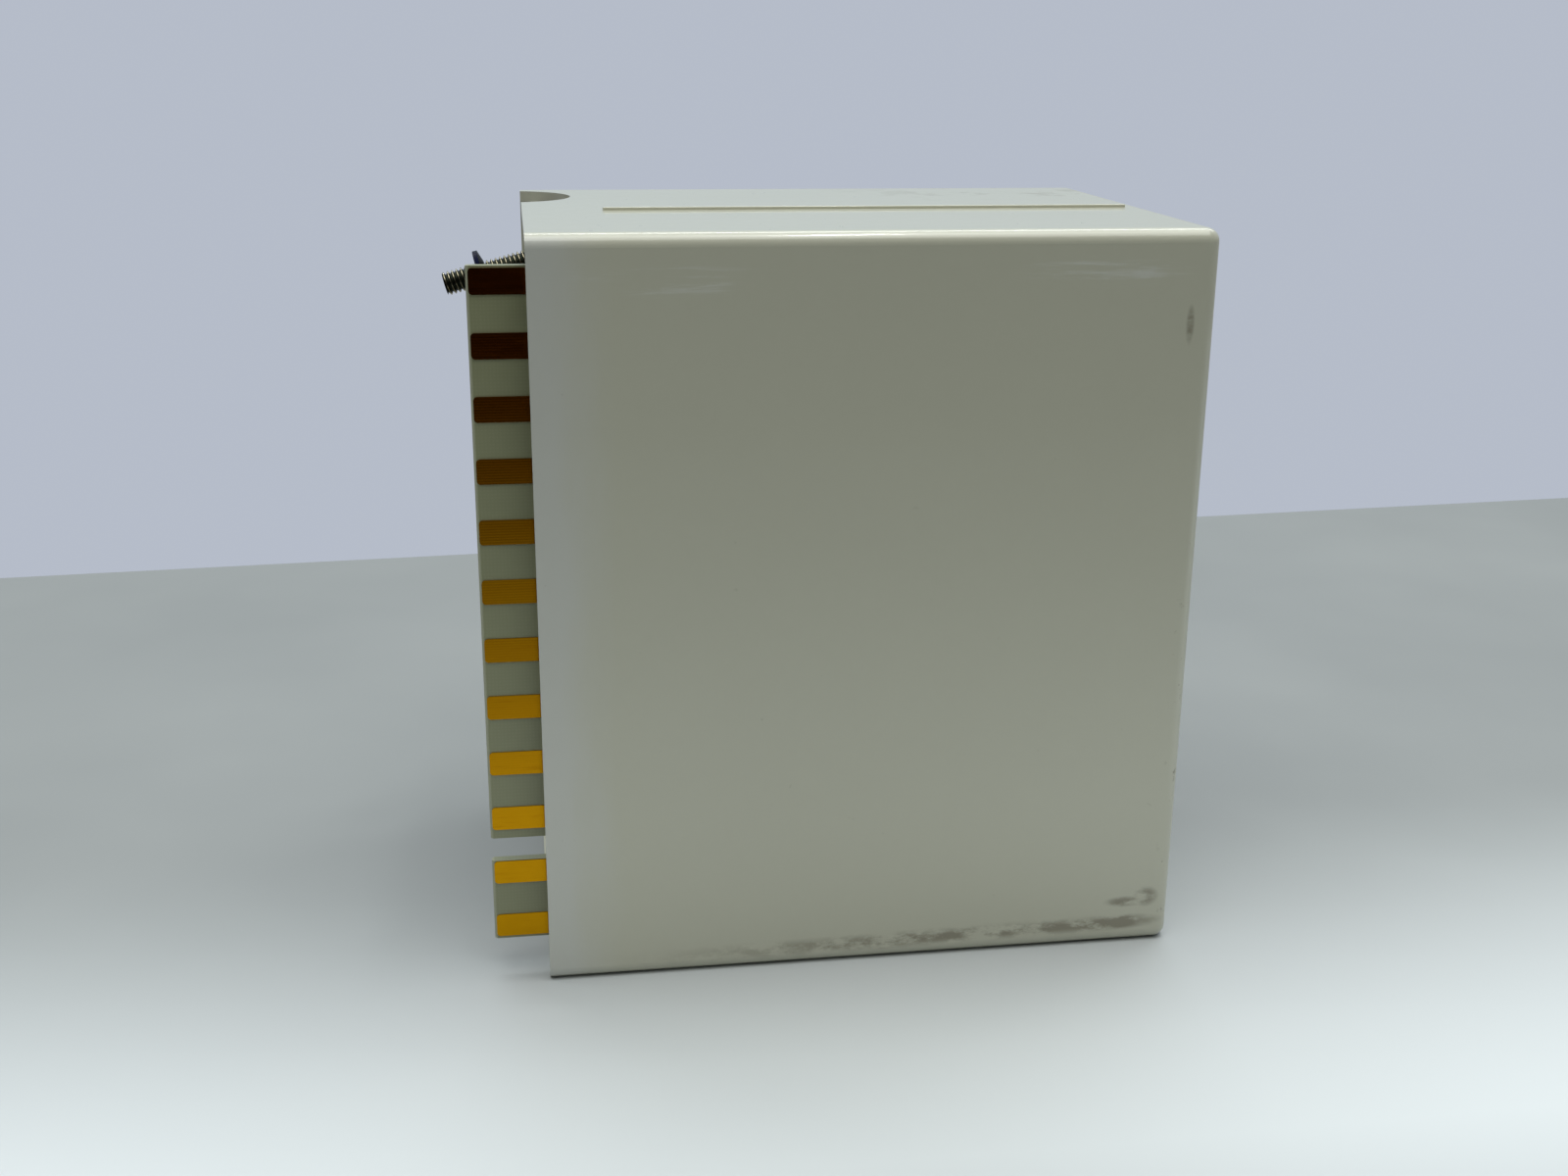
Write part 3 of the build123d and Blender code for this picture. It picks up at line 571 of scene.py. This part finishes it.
def cut(thing, low, high):
    """Cuts a box out of an object."""
    def fill(mesh):
        middle, size = (Vector(low) + Vector(high)) / 2, Vector(high) - Vector(low)
        bmesh.ops.create_cube(mesh, size=1, matrix=Matrix.Translation(middle) @ Matrix.Diagonal((*size, 1)))
    cutter = new_object("cutter", fill)
    modifier = thing.modifiers.new("cut", "BOOLEAN")
    modifier.operation = "DIFFERENCE"
    modifier.object = cutter
    modifier.solver = "EXACT"
    bpy.context.view_layer.objects.active = thing
    bpy.ops.object.modifier_apply(modifier=modifier.name)
    bpy.data.objects.remove(cutter)


def smooth(thing, degrees):
    for polygon in thing.data.polygons:
        polygon.use_smooth = True
    thing.data.set_sharp_from_angle(angle=math.radians(degrees))


def screw_material():
    """Yellow zinc plate, with painted shade that darkens the grooves almost to black between the
    zinc-coloured crests.
    """
    surface = Surface("zinc_yellow", Metallic=1.0)
    offset = surface.add("VectorMath", {0: surface.place, 1: tuple(PIVOT)}, operation="SUBTRACT")
    axes = {0: offset.outputs[0], 1: tuple(SCREW_AXIS)}
    across = surface.add("VectorMath", axes, operation="CROSS_PRODUCT")
    from_axis = surface.add("VectorMath", {0: across.outputs[0]}, operation="LENGTH").outputs["Value"]
    blotch = surface.noise(700, 4, 0.6)
    crest_zinc = surface.mix((0.30, 0.27, 0.18), (0.46, 0.42, 0.30), blotch)
    crest = surface.step(from_axis, MINOR + 0.16 * MM, MAJOR - 0.06 * MM)
    # Painted shade in the grooves: near black between the crests, zinc colour on them
    surface.set(
        Base_Color=surface.mix((0.022, 0.026, 0.018), crest_zinc, crest),
        Roughness=surface.between(0.42, 0.22, crest),
        Normal=surface.bump(blotch, 0.15, 0.03 * MM),
    )
    return surface.material


def make_jackscrew():
    zinc = screw_material()
    place = Matrix.Translation(PIVOT) @ SCREW_AXIS.to_track_quat("X", "Z").to_matrix().to_4x4()
    thread = new_object("jackscrew_thread", thread_mesh)
    head = new_object("jackscrew_head", head_mesh)
    end = HEAD_AT + HEAD_HEIGHT
    past = 1 * MM
    cut(
        head,
        (end - SLOT_DEPTH, -SLOT_WIDTH / 2, -HEAD_RADIUS - past),
        (end + past, SLOT_WIDTH / 2, HEAD_RADIUS + past),
    )
    for thing in (thread, head):
        thing.data.transform(place)
        thing.data.materials.clear()
        thing.data.materials.append(zinc)
        smooth(thing, 30)
        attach(thing, "jackscrew")
        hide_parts("jackscrew")


# ---- Floor, light and camera

FLOOR_HALF_WIDTH = 0.7
FLOOR_FRONT = -0.42
FLOOR_BACK = 0.2166
FLOOR_BACK_SLOPE = 0.0628
SHADE_START = 0.055
SHADE_LENGTH = 0.15
WALL_COLOR = (0.465, 0.505, 0.585)
ROOM_STOPS = (
    (0.0, (0.004, 0.004, 0.004)),
    (0.28, (0.012, 0.012, 0.012)),
    (0.5, (0.20, 0.205, 0.20)),
    (0.7, (0.36, 0.37, 0.37)),
    (0.85, (0.42, 0.49, 0.55)),
    (1.0, (0.44, 0.51, 0.57)),
)
CAMERA_LENS = 40.37
CAMERA_SENSOR = 36
CAMERA_TURNS = (-8.788, 17.486, 0.498)
CAMERA_PLACE = Vector((REAR_X - 1.78 * MM, NEAR_Y - 256.58 * MM, FLOOR_Z + 147.46 * MM))


def make_floor():
    """A plain table top with its light and shade painted in: palest just in front of the relay, greyer behind
    it, and fading into painted shade further in front.
    """
    surface = Surface("floor_pale", Roughness=0.6)
    y = surface.axis("Y")
    # Painted light and shade: a pale pool of light just in front of the relay, greyer floor behind it
    behind = surface.mix((0.22, 0.235, 0.235), (0.31, 0.325, 0.32), surface.noise(9, 3))
    color = surface.mix((0.70, 0.74, 0.75), behind, surface.step(y, NEAR_Y - 0.07, NEAR_Y + 0.06))
    # Painted shade: the floor darkens towards black further in front of the relay
    beyond = surface.math("SUBTRACT", y, NEAR_Y - SHADE_START)
    shade_power = surface.math("DIVIDE", surface.math("MINIMUM", beyond, 0.0), SHADE_LENGTH)
    lit = surface.math("EXPONENT", shade_power)
    surface.set(Base_Color=surface.mix((0.004, 0.004, 0.004), color, lit))
    data = bpy.data.meshes.new("floor")
    corners = []
    for side, front in ((-1, True), (1, True), (1, False), (-1, False)):
        x = side * FLOOR_HALF_WIDTH
        edge = FLOOR_FRONT if front else FLOOR_BACK + FLOOR_BACK_SLOPE * x
        corners.append((x, edge, FLOOR_Z))
    data.from_pydata(corners, [], [(0, 1, 2, 3)])
    data.materials.append(surface.material)
    floor = bpy.data.objects.new("floor", data)
    bpy.context.scene.collection.objects.link(floor)


def make_world():
    """A pale wall to the camera. To everything else, a room bright above and behind, and dark in front."""
    world = bpy.data.worlds.new("studio")
    bpy.context.scene.world = world
    world.use_nodes = True
    tree = world.node_tree
    background = tree.nodes["Background"]
    direction = tree.nodes.new("ShaderNodeTexCoord").outputs["Generated"]
    toward_light = tree.nodes.new("ShaderNodeVectorMath")
    toward_light.operation = "DOT_PRODUCT"
    toward_light.inputs[1].default_value = (0, 0.3, 0.4)
    tree.links.new(direction, toward_light.inputs[0])
    half = tree.nodes.new("ShaderNodeMath")
    half.inputs[1].default_value = 0.5
    tree.links.new(toward_light.outputs["Value"], half.inputs[0])
    ramp = tree.nodes.new("ShaderNodeValToRGB")
    while len(ramp.color_ramp.elements) < len(ROOM_STOPS):
        ramp.color_ramp.elements.new(0.5)
    for element, (position, color) in zip(ramp.color_ramp.elements, ROOM_STOPS):
        element.position = position
        element.color = (*color, 1)
    tree.links.new(half.outputs[0], ramp.inputs[0])
    mix = tree.nodes.new("ShaderNodeMix")
    mix.data_type = "RGBA"
    path = tree.nodes.new("ShaderNodeLightPath")
    tree.links.new(path.outputs["Is Camera Ray"], mix.inputs[0])
    tree.links.new(ramp.outputs[0], mix.inputs[6])
    mix.inputs[7].default_value = (*WALL_COLOR, 1)
    tree.links.new(mix.outputs[2], background.inputs["Color"])


def area_light(name, location, target, size, energy, color=(1, 1, 1)):
    """A rectangular light that faces a target."""
    data = bpy.data.lights.new(name, "AREA")
    data.shape = "RECTANGLE"
    data.size, data.size_y = size
    data.energy = energy
    data.color = color
    lamp = bpy.data.objects.new(name, data)
    lamp.location = location
    lamp.rotation_euler = (Vector(target) - Vector(location)).to_track_quat("-Z", "Y").to_euler()
    bpy.context.scene.collection.objects.link(lamp)


def make_lights():
    """A narrow light behind, a broad one overhead, and a small one that glints on the near top edge."""
    center = (0, 0, 0.06)
    area_light("key", (0.1, 0.60, 1.0), center, (1.8, 0.14), 6.5, (0.98, 1.0, 1.0))
    area_light("ceiling", (0.0, -0.24, 1.2), center, (1.3, 1.0), 10.3, (1.0, 1.0, 0.955))
    area_light("lamp", (0.20, -0.10, 1.2), center, (0.16, 0.05), 1.2)


def make_camera():
    """The camera stands in front of the near face's rear edge and looks down, a little to the right."""
    data = bpy.data.cameras.new("camera")
    data.lens = CAMERA_LENS
    data.sensor_width = CAMERA_SENSOR
    data.clip_start, data.clip_end = 0.01, 20
    camera = bpy.data.objects.new("camera", data)
    pan, tilt, roll = (math.radians(angle) for angle in CAMERA_TURNS)
    level = Matrix.Rotation(pan, 4, "Z")
    turn = level @ Matrix.Rotation(math.pi / 2 - tilt, 4, "X") @ Matrix.Rotation(roll, 4, "Z")
    camera.matrix_world = Matrix.Translation(CAMERA_PLACE) @ turn
    bpy.context.scene.collection.objects.link(camera)
    bpy.context.scene.camera = camera


bpy.context.scene.view_settings.view_transform = "Standard"
make_camera()
make_floor()
make_world()
make_lights()
paint_nodes()
make_jackscrew()
